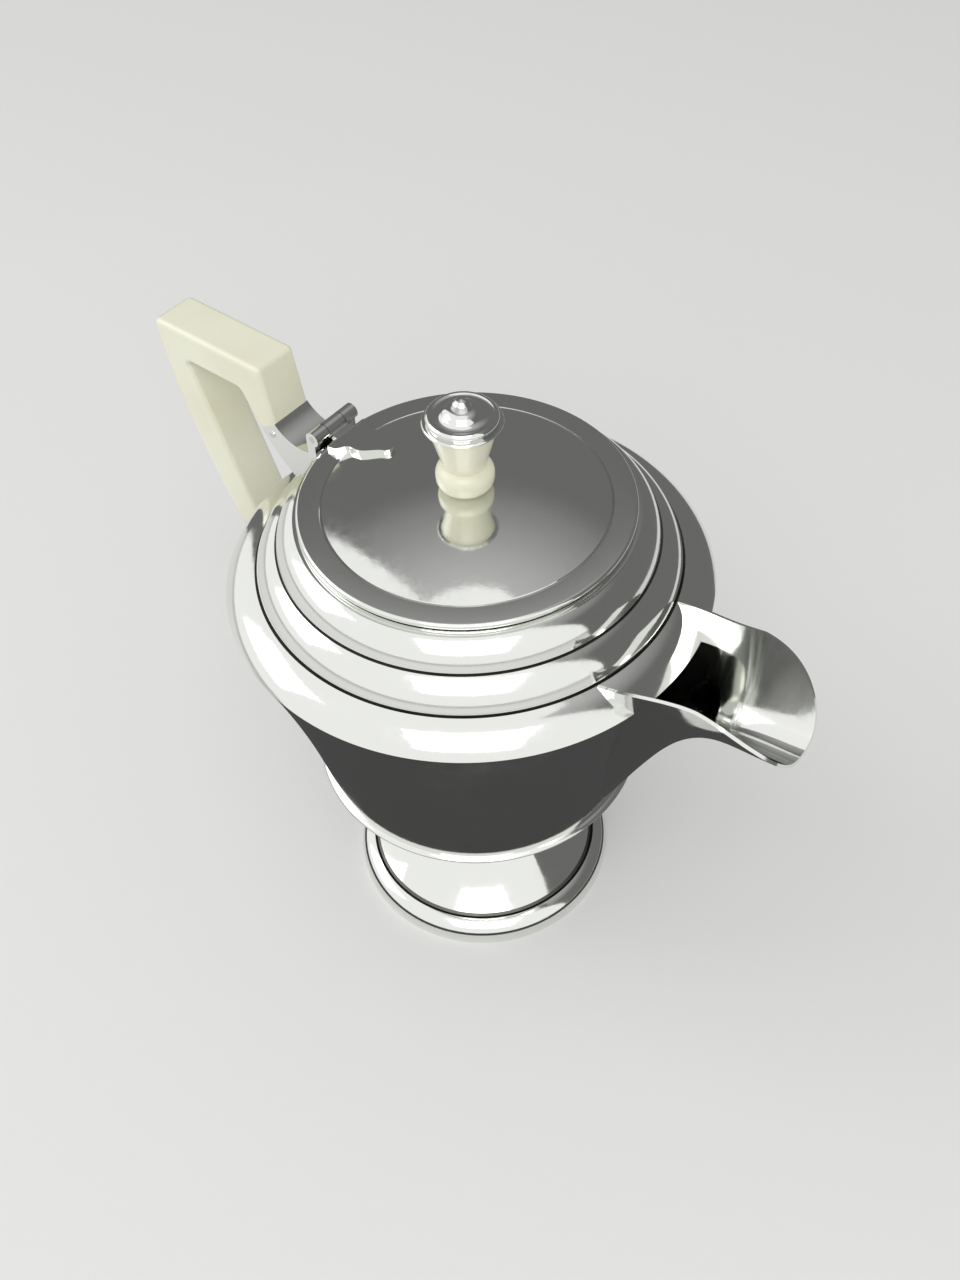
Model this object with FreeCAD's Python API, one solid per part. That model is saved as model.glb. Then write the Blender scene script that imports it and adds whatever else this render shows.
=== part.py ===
import FreeCAD, Part
import math
import os

# Lidded silver coffee pot. Sizes are in millimetres. The foot stands on z = 0, the pot's axis is Z,
# the spout points along +X and the handle along -X, and both halves mirror in the plane y = 0.

# Sheet silver and clearances
SHEET = 1.2                  # thickness of the raised sheet
SPOUT_SHEET = 0.9            # the spout's sheet is thinner
SLIP_CLEARANCE = 0.02        # pins and tenons that stay in their own socket
RUNNING_CLEARANCE = 0.05     # hinge pin in the lid's knuckle, on the radius
LID_GAP = 0.3                # closed lid above the mouth ring
KNUCKLE_GAP = 0.15           # between neighbouring hinge knuckles
HINGE_ROOM = 0.4             # lid's edge to the hinge barrel, and the lid's knuckle to the lug behind it

# Foot
FOOT_RADIUS = 41.8
FOOT_BAND_WIDTH = 5.4        # moulding outside the groove
FOOT_BAND_HEIGHT = 7.5
FOOT_BAND_BOW = 1.5
FOOT_EDGE_HEIGHT = 1.2       # upright edge above the table
FOOT_LAND = 2.6              # width of the ring that touches the table
FOOT_HEIGHT = 28.0           # table to the neck
NECK_RADIUS = 19.0
NECK_FLANGE = 6.0            # flat inner flange that carries the bowl
FLARE_BOW = 1.8

# Body
WAIST_RADIUS = 47.9
BOWL_HEIGHT = 31.6           # neck to the waist
BOWL_BOW = 3.0
WALL_HEIGHT = 72.2           # waist to the shoulder's edge
WALL_BOW = 1.7               # the wall is slightly hollow
WAIST_BEAD = 1.5             # radius of the half-round wire

# Shoulder of three rounded bands
LOW_BAND_WIDTH = 9.0
LOW_BAND_RISE = 6.6
MIDDLE_BAND_WIDTH = 6.4
MIDDLE_BAND_RISE = 8.2
TOP_BAND_WIDTH = 5.6
TOP_BAND_RISE = 7.4
BAND_BOW = 1.1
GROOVE_WIDTH = 0.8
GROOVE_DEPTH = 0.6

# Mouth and lid
LID_RADIUS = 45.0
MOUTH_LEDGE = 1.0            # mouth ring stands out past the lid's edge
MOUTH_RING_WIDTH = 2.8
MOUTH_RING_HEIGHT = 0.8      # part above the shoulder
MOUTH_RING_DEPTH = 3.0       # part inside the shoulder
LID_RIM_HEIGHT = 1.9
LID_RIM_WIDTH = 2.6
LID_STEP_RADIUS = 38.0       # where the dome starts
LID_STEP_WIDTH = 0.7
LID_STEP_DEPTH = 0.5
DOME_RISE = 5.4
BEZEL_CLEARANCE = 0.8        # room for the bezel's front edge as the lid swings
BEZEL_THICKNESS = 1.0
BEZEL_DEPTH = 6.0

# Hinge
KNUCKLE_RADIUS = 2.2
HINGE_PIN_RADIUS = 1.0
HINGE_RISE = 1.6             # hinge axis above the lid's flange
LID_KNUCKLE_LENGTH = 6.4
POT_KNUCKLE_LENGTH = 4.8
LUG_THICKNESS = 3.0
LEAF_WIDTH = 14.4
LEAF_STRAIGHT = 9.0          # hinge axis to where the leaf starts to taper
LEAF_LENGTH = 22.0           # hinge axis to the leaf's tip
LEAF_TIP_WIDTH = 3.0
LEAF_THICKNESS = 1.3

# Finial
FINIAL_FOOT_RADIUS = 5.4
BEAD_RADIUS = 7.7
BEAD_BOW = 0.7
BEAD_HEIGHT = 7.4
FINIAL_NECK_RADIUS = 5.6
CONE_RADIUS = 9.1
CONE_HEIGHT = 13.0
CAP_RADIUS = 10.4
CAP_EDGE_HEIGHT = 2.6
CAP_STEP_RADIUS = 9.0
CAP_STEP_HEIGHT = 0.7
CAP_BOSS_RADIUS = 5.3
CAP_BOSS_HEIGHT = 1.5
KNOB_RADIUS = 2.7
KNOB_HEIGHT = 2.6
KNOB_BOW = 0.7
BOLT_RADIUS = 1.5
BOLT_END = 0.75              # thread past the nut
NUT_SIDES = 6
NUT_WIDTH = 6.0              # across flats
NUT_HEIGHT = 2.4
WASHER_RADIUS = 4.2
WASHER_THICKNESS = 0.8

# Handle, measured out from the axis and up from the lid's flange
HANDLE_WIDTH = 14.4
HANDLE_REACH = 108.4
HANDLE_RISE = 15.7           # top bar above the lid's flange
HANDLE_BAR = 10.4            # depth of the top bar
HANDLE_FRONT = 66.9          # front end of the top bar
GRIP_THICKNESS = 10.8        # at its top
GRIP_BOW = 3.6
GRIP_FOOT_REACH = 86.8       # outer elbow at the grip's lower end
GRIP_FOOT_THICKNESS = 9.6
GRIP_FOOT_LIFT = 6.4         # outer elbow above the lower socket's centre
GRIP_ELBOW_RISE = 2.0        # inner elbow above the outer one
ELBOW_BOW = 3.0              # outside of the elbow
ELBOW_HOLLOW = 1.5           # inside of the elbow
LEG_DROP = 17.6              # top bar down to the upper socket, along the front leg
LEG_SLANT = 3.0              # front leg leans in by this much
LEG_THICKNESS = 9.2          # where it leaves the top bar
LEG_END_SPREAD = 6.0         # end of the front leg, across and down
LEG_END_DROP = 3.4
HANDLE_CORNER = 1.7
HANDLE_EDGE = 1.6            # rounding of the long edges

# Handle sockets and pins
SOCKET_INSET = 0.5           # sockets are narrower than the handle, each side
SOCKET_DIP = 2.4             # hollow of the upper arm's top
UPPER_ARM_FALL = 3.3         # arm's top falls by this much from the handle to the hinge
UPPER_ARM_BELLY = 0.8
LOWER_SOCKET_LIFT = 38.0     # lower arm's centre above the waist
LOWER_SOCKET_DEPTH = 8.6
LOWER_SOCKET_REACH = 70.0
TENON_THICKNESS = 3.4
TENON_WIDTH = 8.0
TENON_LENGTH = 6.0
HANDLE_PIN_RADIUS = 0.9
HANDLE_PIN_PROUD = 0.3

# Spout
SPOUT_REACH = 103.9
SPOUT_HALF_WIDTH = 18.5      # where it leaves the shoulder
SPOUT_NARROWING = 1.6        # loss of half width over the spout's length
SPOUT_NOSE_POWER = 3.2       # squareness of the lip seen from above
SPOUT_CREST_RISE = 14.4      # top edge above the shoulder's edge
SPOUT_CREST_REACH = 86.0
LIP_FLOOR_DROP = 4.0         # lip's floor below the shoulder's edge
LIP_START_REACH = 84.6       # where the keel turns into the lip's floor
LIP_START_DROP = 8.6
KEEL_MIDDLE_REACH = 62.5     # point of the keel halfway up
KEEL_MIDDLE_DROP = 36.3
KEEL_STATIONS = 8
SPOUT_ROOT_INSET = 1.4       # edges start this far inside the low groove
SPOUT_NOSE_STATIONS = 5      # points on each half of the lip's outline
SPOUT_OVERRUN = 6.0          # cutting shapes run past by this much
POUR_WIDTH = 14.0
POUR_BOTTOM = 47.0           # opening's lowest point below the shoulder's edge
POUR_TOP = 8.0               # opening's highest point below the shoulder's edge

# Chords that stand for each rounded line of a turned piece
BAND_STEPS = 3
WALL_STEPS = 2
BOWL_STEPS = 3
FLARE_STEPS = 2
DOME_STEPS = 2
BEAD_STEPS = 3

# Heights and radii that follow
NECK_Z = FOOT_HEIGHT
WAIST_Z = NECK_Z + BOWL_HEIGHT
EDGE_Z = WAIST_Z + WALL_HEIGHT
LOW_GROOVE_Z = EDGE_Z + LOW_BAND_RISE
TOP_GROOVE_Z = LOW_GROOVE_Z + MIDDLE_BAND_RISE
MOUTH_Z = TOP_GROOVE_Z + TOP_BAND_RISE
RING_TOP_Z = MOUTH_Z + MOUTH_RING_HEIGHT
LID_BOTTOM_Z = RING_TOP_Z + LID_GAP
FLANGE_Z = LID_BOTTOM_Z + LID_RIM_HEIGHT
DOME_Z = FLANGE_Z + DOME_RISE
HINGE_Z = FLANGE_Z + HINGE_RISE
HINGE_X = -(LID_RADIUS + HINGE_ROOM + KNUCKLE_RADIUS)
MOUTH_RADIUS = LID_RADIUS + MOUTH_LEDGE
TOP_GROOVE_RADIUS = MOUTH_RADIUS + TOP_BAND_WIDTH
LOW_GROOVE_RADIUS = TOP_GROOVE_RADIUS + MIDDLE_BAND_WIDTH
EDGE_RADIUS = LOW_GROOVE_RADIUS + LOW_BAND_WIDTH
FOOT_GROOVE_RADIUS = FOOT_RADIUS - FOOT_BAND_WIDTH
MOUTH_BORE = MOUTH_RADIUS - MOUTH_RING_WIDTH
BEZEL_RADIUS = MOUTH_BORE - BEZEL_CLEARANCE
HANDLE_TOP_Z = FLANGE_Z + HANDLE_RISE
LOWER_SOCKET_Z = WAIST_Z + LOWER_SOCKET_LIFT
SOCKET_WIDTH = HANDLE_WIDTH - 2 * SOCKET_INSET
BARREL_LENGTH = LID_KNUCKLE_LENGTH + 2 * (KNUCKLE_GAP + POT_KNUCKLE_LENGTH)
BEAD_TOP_Z = DOME_Z + BEAD_HEIGHT
CONE_TOP_Z = BEAD_TOP_Z + CONE_HEIGHT
CAP_TOP_Z = CONE_TOP_Z + CAP_EDGE_HEIGHT + CAP_STEP_HEIGHT + CAP_BOSS_HEIGHT

ORIGIN = FreeCAD.Vector(0, 0, 0)
UP = FreeCAD.Vector(0, 0, 1)
ACROSS = FreeCAD.Vector(0, 1, 0)


def at(x, z):
    """Point of the upright plane through the axis, the spout and the handle."""
    return FreeCAD.Vector(x, 0, z)


def line(a, b):
    return Part.LineSegment(a, b).toShape()


def curve(a, b, rise, steps):
    """Short chords along a shallow curve from a to b, rise off its chord to the left at the middle."""
    along = b - a
    left = FreeCAD.Vector(-along.z, 0, along.x).normalize()
    shares = [number / steps for number in range(steps + 1)]
    return chain([a + along * share + left * (4 * rise * share * (1 - share)) for share in shares])


def bow(a, b, rise):
    """Arc from a to b that stands off its chord by rise, to the left of the way from a to b."""
    along = b - a
    left = FreeCAD.Vector(-along.z, 0, along.x).normalize()
    return Part.Arc(a, (a + b) * 0.5 + left * rise, b).toShape()


def chain(points):
    """Straight edges through the points."""
    return [line(a, b) for a, b in zip(points, points[1:])]


def closed(edges):
    """Face inside the edges, with a straight edge from the last one's end back to the start."""
    wire = Part.Wire(edges)
    if not wire.isClosed():
        ends = wire.OrderedVertexes
        wire = Part.Wire(edges + [line(ends[-1].Point, ends[0].Point)])
    return Part.Face(wire)


def turned(edges):
    """Solid of revolution of the outline round the pot's axis."""
    solid = closed(edges).revolve(ORIGIN, UP, 360)
    if solid.Volume < 0:
        solid.reverse()
    return solid


def slab(edges, width):
    """Solid of the outline, half its width on each side of the upright plane."""
    face = closed(edges)
    face.translate(ACROSS * (-width / 2))
    return face.extrude(ACROSS * width)


def rod(x, z, radius, length):
    """Cylinder across the pot, centred on the upright plane."""
    return Part.makeCylinder(radius, length, FreeCAD.Vector(x, -length / 2, z), ACROSS)


def shoulder_edges(groove_depth):
    """Outer line of the three bands, from the shoulder's edge to the mouth, with grooves in between."""
    corners = [
        at(EDGE_RADIUS, EDGE_Z),
        at(LOW_GROOVE_RADIUS, LOW_GROOVE_Z),
        at(TOP_GROOVE_RADIUS, TOP_GROOVE_Z),
        at(MOUTH_RADIUS, MOUTH_Z),
    ]
    edges = []
    for number, (low, high) in enumerate(zip(corners, corners[1:])):
        along = (high - low).normalize()
        start = low
        end = high
        if number > 0:
            start = low + along * (GROOVE_WIDTH / 2)
            edges.append(line(groove_floor, start))
        if number < len(corners) - 2:
            end = high - along * (GROOVE_WIDTH / 2)
        edges += curve(start, end, -BAND_BOW, BAND_STEPS)
        if number < len(corners) - 2:
            groove_floor = high + FreeCAD.Vector(-along.z, 0, along.x) * groove_depth
            edges.append(line(end, groove_floor))
    return edges


def wall_edge():
    """Line of the body wall from the waist to the shoulder's edge."""
    return curve(at(WAIST_RADIUS, WAIST_Z), at(EDGE_RADIUS, EDGE_Z), WALL_BOW, WALL_STEPS)


def bowl_edge():
    """Line of the bowl from the neck to the waist."""
    return curve(at(NECK_RADIUS, NECK_Z), at(WAIST_RADIUS, WAIST_Z), -BOWL_BOW, BOWL_STEPS)


def pot_envelope():
    """The pot's outside as one full solid with its grooves filled, to seat what is soldered on it."""
    edges = bowl_edge() + wall_edge() + shoulder_edges(0)
    return turned(edges + chain([at(MOUTH_RADIUS, MOUTH_Z), at(0, MOUTH_Z), at(0, NECK_Z)]))


def foot_collar():
    """Hollow flare with a flat flange inside its neck."""
    neck = at(NECK_RADIUS, NECK_Z)
    rim = at(FOOT_GROOVE_RADIUS, FOOT_BAND_HEIGHT)
    rim_under = at(FOOT_GROOVE_RADIUS, FOOT_BAND_HEIGHT - SHEET)
    neck_under = at(NECK_RADIUS - SHEET, NECK_Z - SHEET)
    flange_under = at(NECK_RADIUS - NECK_FLANGE, NECK_Z - SHEET)
    flange = at(NECK_RADIUS - NECK_FLANGE, NECK_Z)
    edges = curve(neck, rim, -FLARE_BOW, FLARE_STEPS) + [line(rim, rim_under)]
    edges += curve(rim_under, neck_under, FLARE_BOW, FLARE_STEPS)
    return turned(edges + chain([neck_under, flange_under, flange, neck]))


def foot_band(collar):
    """Rounded moulding, seated round the edge of the flare, with its groove in between."""
    groove_floor = at(FOOT_GROOVE_RADIUS, FOOT_BAND_HEIGHT - GROOVE_DEPTH)
    crown = at(FOOT_GROOVE_RADIUS + GROOVE_WIDTH, FOOT_BAND_HEIGHT)
    shelf = at(FOOT_RADIUS, FOOT_EDGE_HEIGHT)
    land = at(FOOT_RADIUS - FOOT_LAND, 0)
    inner = at(FOOT_GROOVE_RADIUS - SHEET, FOOT_BAND_HEIGHT - 2 * SHEET)
    inner_top = at(FOOT_GROOVE_RADIUS - SHEET, FOOT_BAND_HEIGHT - SHEET)
    edges = [line(groove_floor, crown)] + curve(crown, shelf, FOOT_BAND_BOW, BAND_STEPS)
    edges += chain([shelf, at(FOOT_RADIUS, 0), land, inner, inner_top, groove_floor])
    return turned(edges).cut(collar)


def body_bowl():
    """Rounded bottom with a flat floor on the foot's neck."""
    rim_inside = at(WAIST_RADIUS - SHEET, WAIST_Z)
    floor = at(NECK_RADIUS, NECK_Z + SHEET)
    edges = bowl_edge() + [line(at(WAIST_RADIUS, WAIST_Z), rim_inside)]
    edges += curve(rim_inside, floor, BOWL_BOW, BOWL_STEPS)
    return turned(edges + chain([floor, at(0, floor.z), at(0, NECK_Z), at(NECK_RADIUS, NECK_Z)]))


def waist_ring(envelope):
    """Half-round wire over the seam between bowl and wall."""
    seat = WAIST_RADIUS - WAIST_BEAD
    low = at(seat, WAIST_Z - WAIST_BEAD)
    high = at(seat, WAIST_Z + WAIST_BEAD)
    return turned(curve(low, high, -2 * WAIST_BEAD, BEAD_STEPS)).cut(envelope)


def pour_opening():
    """Upright slot with round ends through the wall behind the spout."""
    radius = POUR_WIDTH / 2
    low = EDGE_Z - POUR_BOTTOM + radius
    high = EDGE_Z - POUR_TOP - radius
    depth = EDGE_RADIUS
    slot = Part.makeBox(depth, POUR_WIDTH, high - low, FreeCAD.Vector(0, -radius, low))
    for z in (low, high):
        slot = slot.fuse(Part.makeCylinder(radius, depth, at(0, z), FreeCAD.Vector(1, 0, 0)))
    return slot


def body_wall():
    """Tapered wall, slightly hollow, with the opening behind the spout."""
    edge_inside = at(EDGE_RADIUS - SHEET, EDGE_Z)
    waist_inside = at(WAIST_RADIUS - SHEET, WAIST_Z)
    edges = wall_edge() + [line(at(EDGE_RADIUS, EDGE_Z), edge_inside)]
    edges += curve(edge_inside, waist_inside, -WALL_BOW, WALL_STEPS)
    return turned(edges).cut(pour_opening())


def shoulder_collar():
    """Spun shoulder: banded outside, plain inside."""
    thickness = SHEET + GROOVE_DEPTH
    slope = math.atan2(MIDDLE_BAND_WIDTH, MIDDLE_BAND_RISE)
    inward = FreeCAD.Vector(-math.cos(slope), 0, -math.sin(slope)) * thickness
    inside = [
        at(MOUTH_RADIUS, MOUTH_Z),
        at(MOUTH_RADIUS - SHEET, MOUTH_Z),
        at(TOP_GROOVE_RADIUS, TOP_GROOVE_Z) + inward,
        at(LOW_GROOVE_RADIUS, LOW_GROOVE_Z) + inward,
        at(EDGE_RADIUS - SHEET, EDGE_Z),
        at(EDGE_RADIUS, EDGE_Z),
    ]
    return turned(shoulder_edges(GROOVE_DEPTH) + chain(inside))


def mouth_ring():
    """Flat ring on the shoulder's top edge with a collar inside it."""
    neck = MOUTH_RADIUS - SHEET
    points = [
        at(MOUTH_BORE, MOUTH_Z - MOUTH_RING_DEPTH),
        at(neck, MOUTH_Z - MOUTH_RING_DEPTH),
        at(neck, MOUTH_Z),
        at(MOUTH_RADIUS, MOUTH_Z),
    ]
    return turned(chain(points + [at(MOUTH_RADIUS, RING_TOP_Z), at(MOUTH_BORE, RING_TOP_Z)]))


def lid_top_edges():
    """Upper line of the lid from its rim to the axis: flat flange, step and low dome."""
    flange_end = at(LID_STEP_RADIUS + LID_STEP_WIDTH, FLANGE_Z)
    step_floor = at(LID_STEP_RADIUS + LID_STEP_WIDTH / 2, FLANGE_Z - LID_STEP_DEPTH)
    dome_start = at(LID_STEP_RADIUS, FLANGE_Z + LID_STEP_DEPTH / 2)
    straight = chain([at(lid_flange_radius(), FLANGE_Z), flange_end, step_floor, dome_start])
    return straight + dome_line(0)


def lid_flange_radius():
    """Where the flat flange turns into the rounded rim."""
    return LID_RADIUS - LID_RIM_HEIGHT / 2


def dome_height(radius):
    """Height of the dome's outside at a distance from the axis."""
    rise = DOME_RISE - LID_STEP_DEPTH / 2
    sphere = (LID_STEP_RADIUS ** 2 + rise ** 2) / (2 * rise)
    return DOME_Z - sphere + math.sqrt(sphere ** 2 - radius ** 2)


def dome_line(inset):
    """Line of the dome from its rim to its top on the axis, lowered by the inset."""
    radii = [LID_STEP_RADIUS * (1 - number / DOME_STEPS) for number in range(DOME_STEPS + 1)]
    return chain([at(radius, dome_height(radius) - inset) for radius in radii])


def lid_cover():
    """Thin lid with a rounded rim and the bolt's hole through its middle."""
    rim_low = at(lid_flange_radius(), LID_BOTTOM_Z)
    rim_high = at(lid_flange_radius(), FLANGE_Z)
    under = [
        at(0, DOME_Z - SHEET),
        at(LID_STEP_RADIUS, dome_height(LID_STEP_RADIUS) - SHEET),
        at(LID_STEP_RADIUS, FLANGE_Z - SHEET - LID_STEP_DEPTH),
        at(LID_STEP_RADIUS + LID_STEP_WIDTH, FLANGE_Z - SHEET),
        at(LID_RADIUS - LID_RIM_WIDTH, FLANGE_Z - SHEET),
        at(LID_RADIUS - LID_RIM_WIDTH, LID_BOTTOM_Z),
        rim_low,
    ]
    under_dome = dome_line(SHEET)
    rim = curve(rim_low, rim_high, lid_flange_radius() - LID_RADIUS, BEAD_STEPS)
    edges = lid_top_edges() + [line(at(0, DOME_Z), under[0])] + under_dome[::-1] + chain(under[1:]) + rim
    hole = Part.makeCylinder(BOLT_RADIUS + SLIP_CLEARANCE, DOME_Z - LID_BOTTOM_Z, ORIGIN + UP * LID_BOTTOM_Z)
    return turned(edges).cut(hole)


def lid_bezel():
    """Ring under the lid that centres it in the mouth."""
    top = FLANGE_Z - SHEET
    bottom = top - BEZEL_DEPTH
    inner = BEZEL_RADIUS - BEZEL_THICKNESS
    return turned(chain([at(inner, top), at(BEZEL_RADIUS, top), at(BEZEL_RADIUS, bottom), at(inner, bottom)]))


def knuckle(middle_y, length, bore):
    """One length of the hinge barrel with its bore."""
    start = FreeCAD.Vector(HINGE_X, middle_y - length / 2, HINGE_Z)
    barrel = Part.makeCylinder(KNUCKLE_RADIUS, length, start, ACROSS)
    return barrel.cut(Part.makeCylinder(bore, length, start, ACROSS))


def hinge_lug(envelope):
    """Fixed half of the hinge: a plate on the shoulder with a knuckle at each end of the barrel."""
    back = HINGE_X - KNUCKLE_RADIUS
    front = back + LUG_THICKNESS
    profile = [at(back, HINGE_Z), at(front, HINGE_Z), at(front, TOP_GROOVE_Z), at(back, TOP_GROOVE_Z)]
    plate = slab(chain(profile), BARREL_LENGTH).cut(envelope)
    plate = plate.cut(rod(HINGE_X, HINGE_Z, HINGE_PIN_RADIUS + SLIP_CLEARANCE, BARREL_LENGTH))
    room = LID_KNUCKLE_LENGTH + 2 * KNUCKLE_GAP
    plate = plate.cut(rod(HINGE_X, HINGE_Z, KNUCKLE_RADIUS + HINGE_ROOM, room))
    side = (BARREL_LENGTH - POT_KNUCKLE_LENGTH) / 2
    for middle in (-side, side):
        plate = plate.fuse(knuckle(middle, POT_KNUCKLE_LENGTH, HINGE_PIN_RADIUS + SLIP_CLEARANCE))
    return plate.removeSplitter()


def hinge_pin():
    """Pin through all three knuckles."""
    return rod(HINGE_X, HINGE_Z, HINGE_PIN_RADIUS, BARREL_LENGTH)


def lid_envelope():
    """The lid's outside as one full solid, to seat the leaf on it."""
    rim = [at(0, DOME_Z), at(0, LID_BOTTOM_Z), at(lid_flange_radius(), LID_BOTTOM_Z)]
    return turned(lid_top_edges() + chain(rim))


def leaf_plan():
    """Upright block whose outline is the leaf seen from above: straight sides, then a taper to the tip."""
    half = LEAF_WIDTH / 2
    point = LEAF_TIP_WIDTH / 2
    side = [(0, half), (LEAF_STRAIGHT, half), (LEAF_LENGTH, point)]
    outline = side + [(x, -y) for x, y in side[::-1]]
    corners = [FreeCAD.Vector(HINGE_X + x, y, LID_BOTTOM_Z) for x, y in outline]
    return Part.Face(Part.makePolygon(corners + corners[:1])).extrude(UP * (DOME_Z - LID_BOTTOM_Z))


def hinge_leaf():
    """Pointed leaf that lies on the lid, with the middle knuckle and the web that joins them."""
    bore = HINGE_PIN_RADIUS + RUNNING_CLEARANCE
    rim = at(HINGE_X + KNUCKLE_RADIUS + LID_RIM_WIDTH, FLANGE_Z + LEAF_THICKNESS)
    tip_x = HINGE_X + LEAF_LENGTH
    tip = at(tip_x, dome_height(-tip_x) + LEAF_THICKNESS)
    profile = [at(rim.x, LID_BOTTOM_Z), at(tip.x, LID_BOTTOM_Z), tip, rim]
    plate = slab(chain(profile), LEAF_WIDTH).common(leaf_plan()).cut(lid_envelope())
    web = [at(HINGE_X, HINGE_Z), at(HINGE_X, FLANGE_Z), at(rim.x, FLANGE_Z), rim]
    leaf = plate.fuse(slab(chain(web), LID_KNUCKLE_LENGTH))
    leaf = leaf.cut(rod(HINGE_X, HINGE_Z, bore, BARREL_LENGTH))
    return leaf.fuse(knuckle(0, LID_KNUCKLE_LENGTH, bore)).removeSplitter()


def bolt_bore(solid):
    """The solid with the finial bolt's hole through it."""
    return solid.cut(Part.makeCylinder(BOLT_RADIUS + SLIP_CLEARANCE, CAP_TOP_Z, ORIGIN))


def finial_stem(lid):
    """Turned bead and cone in one piece, hollowed underneath to sit on the dome."""
    foot = at(FINIAL_FOOT_RADIUS, DOME_Z - SHEET / 2)
    belly = at(BEAD_RADIUS, DOME_Z + BEAD_HEIGHT / 2)
    neck = at(FINIAL_NECK_RADIUS, BEAD_TOP_Z)
    lower_half = curve(foot, belly, -BEAD_BOW, BEAD_STEPS)
    upper_half = curve(belly, neck, -BEAD_BOW, BEAD_STEPS)
    edges = lower_half + upper_half + [line(neck, at(CONE_RADIUS, CONE_TOP_Z))]
    solid = turned(edges + chain([at(CONE_RADIUS, CONE_TOP_Z), at(0, CONE_TOP_Z), at(0, foot.z), foot]))
    return bolt_bore(solid).cut(lid)


def finial_cap():
    """Stepped disc: rounded edge, flat step and boss."""
    edge_z = CONE_TOP_Z + CAP_EDGE_HEIGHT
    step_z = edge_z + CAP_STEP_HEIGHT
    low = at(CONE_RADIUS, CONE_TOP_Z)
    high = at(CAP_STEP_RADIUS, edge_z)
    edges = curve(low, high, CONE_RADIUS - CAP_RADIUS, BEAD_STEPS)
    ring = at(CAP_STEP_RADIUS - CAP_STEP_HEIGHT, step_z)
    boss = at(CAP_BOSS_RADIUS, step_z)
    edges += chain([high, ring, boss, at(KNOB_RADIUS, CAP_TOP_Z), at(0, CAP_TOP_Z), at(0, CONE_TOP_Z), low])
    return bolt_bore(turned(edges))


def nut_top_z():
    """Underside of the washer, against which the nut is turned."""
    return DOME_Z - SHEET - WASHER_THICKNESS


def bolt_end_z():
    """Lower end of the finial bolt, a little below the nut."""
    return nut_top_z() - NUT_HEIGHT - BOLT_END


def finial_bolt():
    """Rod through the finial with a domed head."""
    shank = at(BOLT_RADIUS, CAP_TOP_Z)
    neck = at(KNOB_RADIUS, CAP_TOP_Z)
    top = at(0, CAP_TOP_Z + KNOB_HEIGHT)
    edges = curve(neck, top, -KNOB_BOW, BEAD_STEPS)
    return turned(edges + chain([top, at(0, bolt_end_z()), at(BOLT_RADIUS, bolt_end_z()), shank, neck]))


def finial_washer(lid):
    """Washer whose upper face is dished to the dome's underside."""
    disc = Part.makeCylinder(WASHER_RADIUS, WASHER_THICKNESS, UP * nut_top_z())
    return bolt_bore(disc).cut(lid)


def finial_nut():
    """Hexagon nut under the washer."""
    radius = NUT_WIDTH / 2 / math.cos(math.pi / NUT_SIDES)
    corners = []
    for number in range(NUT_SIDES + 1):
        angle = 2 * math.pi * number / NUT_SIDES
        corners.append(FreeCAD.Vector(radius * math.cos(angle), radius * math.sin(angle), nut_top_z()))
    return bolt_bore(Part.Face(Part.makePolygon(corners)).extrude(UP * -NUT_HEIGHT))


def handle_leg_end():
    """Front and back corner of the front leg's end, where it enters the upper socket."""
    front = at(LEG_SLANT - HANDLE_FRONT, HANDLE_TOP_Z - LEG_DROP)
    return front, front - at(LEG_END_SPREAD, LEG_END_DROP)


def handle_foot_end():
    """Upper and lower corner of the grip's end, where it enters the lower socket."""
    upper = at(-LOWER_SOCKET_REACH, LOWER_SOCKET_Z + LOWER_SOCKET_DEPTH / 2)
    return upper, upper - UP * LOWER_SOCKET_DEPTH


def tenon_frame(ends):
    """Middle of a handle end and the direction of its tenon, square to the end and towards the pot."""
    first, second = ends
    along = (second - first).normalize()
    return (first + second) * 0.5, FreeCAD.Vector(-along.z, 0, along.x)


def tenon(ends, clearance):
    """Flat tongue on a handle end. It starts a little inside the handle, so that the two join."""
    middle, inward = tenon_frame(ends)
    side = inward.cross(ACROSS) * (TENON_THICKNESS / 2 + clearance)
    start = middle - inward * HANDLE_EDGE
    end = middle + inward * (TENON_LENGTH + clearance)
    return slab(chain([start - side, end - side, end + side, start + side]), TENON_WIDTH + 2 * clearance)


def handle_pin(ends, clearance, length):
    """Cross pin through the middle of a tenon."""
    middle, inward = tenon_frame(ends)
    place = middle + inward * (TENON_LENGTH / 2)
    return rod(place.x, place.z, HANDLE_PIN_RADIUS + clearance, length)


def handle_outline():
    """Side view of the handle: top bar, long bowed grip, elbow, and the short front leg."""
    leg_front, leg_back = handle_leg_end()
    foot_upper, foot_lower = handle_foot_end()
    top_front = at(-HANDLE_FRONT, HANDLE_TOP_Z)
    top_back = at(-HANDLE_REACH, HANDLE_TOP_Z)
    elbow = at(-GRIP_FOOT_REACH, LOWER_SOCKET_Z + GRIP_FOOT_LIFT)
    elbow_in = elbow + at(GRIP_FOOT_THICKNESS, GRIP_ELBOW_RISE)
    window_back = at(GRIP_THICKNESS - HANDLE_REACH, HANDLE_TOP_Z - HANDLE_BAR)
    window_front = at(-HANDLE_FRONT - LEG_THICKNESS, HANDLE_TOP_Z - HANDLE_BAR)
    edges = [line(top_front, top_back), bow(top_back, elbow, -GRIP_BOW)]
    edges += [bow(elbow, foot_lower, -ELBOW_BOW), line(foot_lower, foot_upper)]
    edges.append(bow(foot_upper, elbow_in, ELBOW_HOLLOW))
    return edges + chain([elbow_in, window_back, window_front, leg_back, leg_front, top_front])


def lies_near(edge, places):
    """Whether the edge's middle, seen from the side, is at one of the places."""
    middle = at(edge.CenterOfMass.x, edge.CenterOfMass.z)
    return min((middle - place).Length for place in places) < HANDLE_EDGE


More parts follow.
